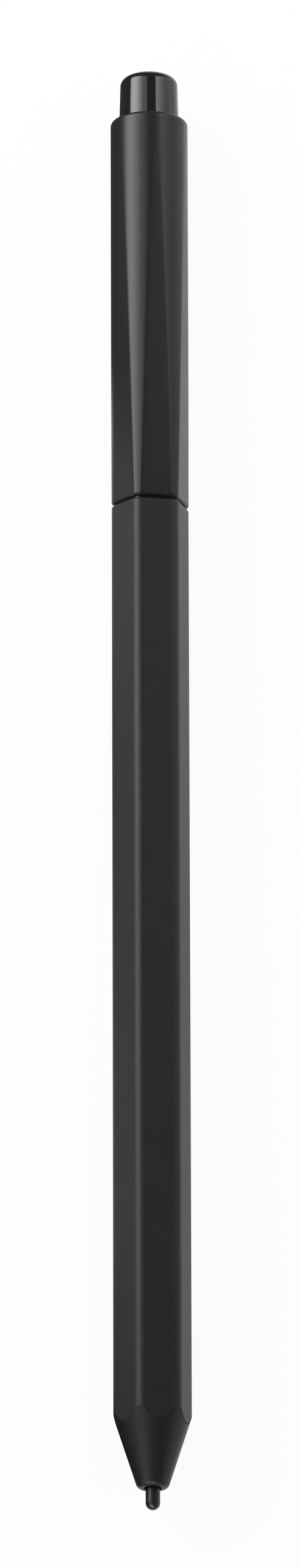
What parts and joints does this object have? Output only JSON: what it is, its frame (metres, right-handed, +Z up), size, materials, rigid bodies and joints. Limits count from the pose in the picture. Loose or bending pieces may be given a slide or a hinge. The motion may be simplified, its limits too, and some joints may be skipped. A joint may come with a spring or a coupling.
{
  "type": "stylus pen",
  "caption": "Slim hexagonal stylus pen with a pencil-like cone, a spring-loaded nib, a pull-off rear cap and a pressable eraser button.",
  "frame": {"origin": "on the ground under the middle of the pen as it lies on one flat", "axes": "+Y along the pen from the nib to the eraser, +Z up out of the upper flat, +X across the flats' edges"},
  "size_m": [0.0086, 0.1668, 0.0087],
  "materials": {
    "shell_matte": "matte, finely textured moulding",
    "eraser_gloss": "polished",
    "nib_black": "satin",
    "sleeve_black": "satin",
    "rubber_black": "matte",
    "ferrite_grey": "sintered",
    "copper_wire": "enamelled copper",
    "carrier_grey": "moulded",
    "holder_white": "moulded",
    "spring_steel": "drawn",
    "disc_cream": "fired",
    "terminal_brass": "stamped",
    "board_green": "solder mask",
    "chip_black": "moulded",
    "capacitor_tan": "fired"
  },
  "bodies": {
    "body": {"barrel": "shell_matte", "nose_ring": "rubber_black", "ferrite_core": "ferrite_grey", "tip_coil": "copper_wire", "coil_leads": "copper_wire", "core_packing": "rubber_black", "board_holder": "carrier_grey", "return_spring": "spring_steel", "dielectric_disc": "disc_cream", "sensor_terminal": "terminal_brass", "circuit_board": "board_green", "tuning_chip": "chip_black", "tuning_capacitors": "capacitor_tan", "rear_damper": "rubber_black", "joint_sleeve": "sleeve_black", "grip_ring": "rubber_black"},
    "slider": {"nib_holder": "holder_white", "pressure_pad": "rubber_black"},
    "nib": {"nib": "nib_black"},
    "cap": {"rear_cap": "shell_matte", "eraser_spring": "spring_steel", "eraser_bobbin": "carrier_grey", "eraser_rod": "ferrite_grey", "eraser_coil": "copper_wire", "eraser_capacitor": "capacitor_tan"},
    "eraser": {"eraser_tip": "eraser_gloss", "eraser_clip": "spring_steel", "eraser_slug": "ferrite_grey"}
  },
  "joints": [
    {"name": "nib_press", "type": "slide", "parent": "body", "child": "slider", "axis": [0, 1, 0], "range_m": [0, 0.0004], "stiffness_N_per_m": 800, "springref_m": -0.0003, "deforming": ["return_spring"]},
    {"name": "nib_pull", "type": "slide", "parent": "slider", "child": "nib", "axis": [0, -1, 0], "range_m": [0, 0.026]},
    {"name": "cap_pull", "type": "slide", "parent": "body", "child": "cap", "axis": [0, 1, 0], "range_m": [0, 0.016]},
    {"name": "eraser_press", "type": "slide", "parent": "cap", "child": "eraser", "axis": [0, -1, 0], "range_m": [0, 0.0008], "stiffness_N_per_m": 600, "springref_m": -0.0005, "deforming": ["eraser_spring"]}
  ]
}
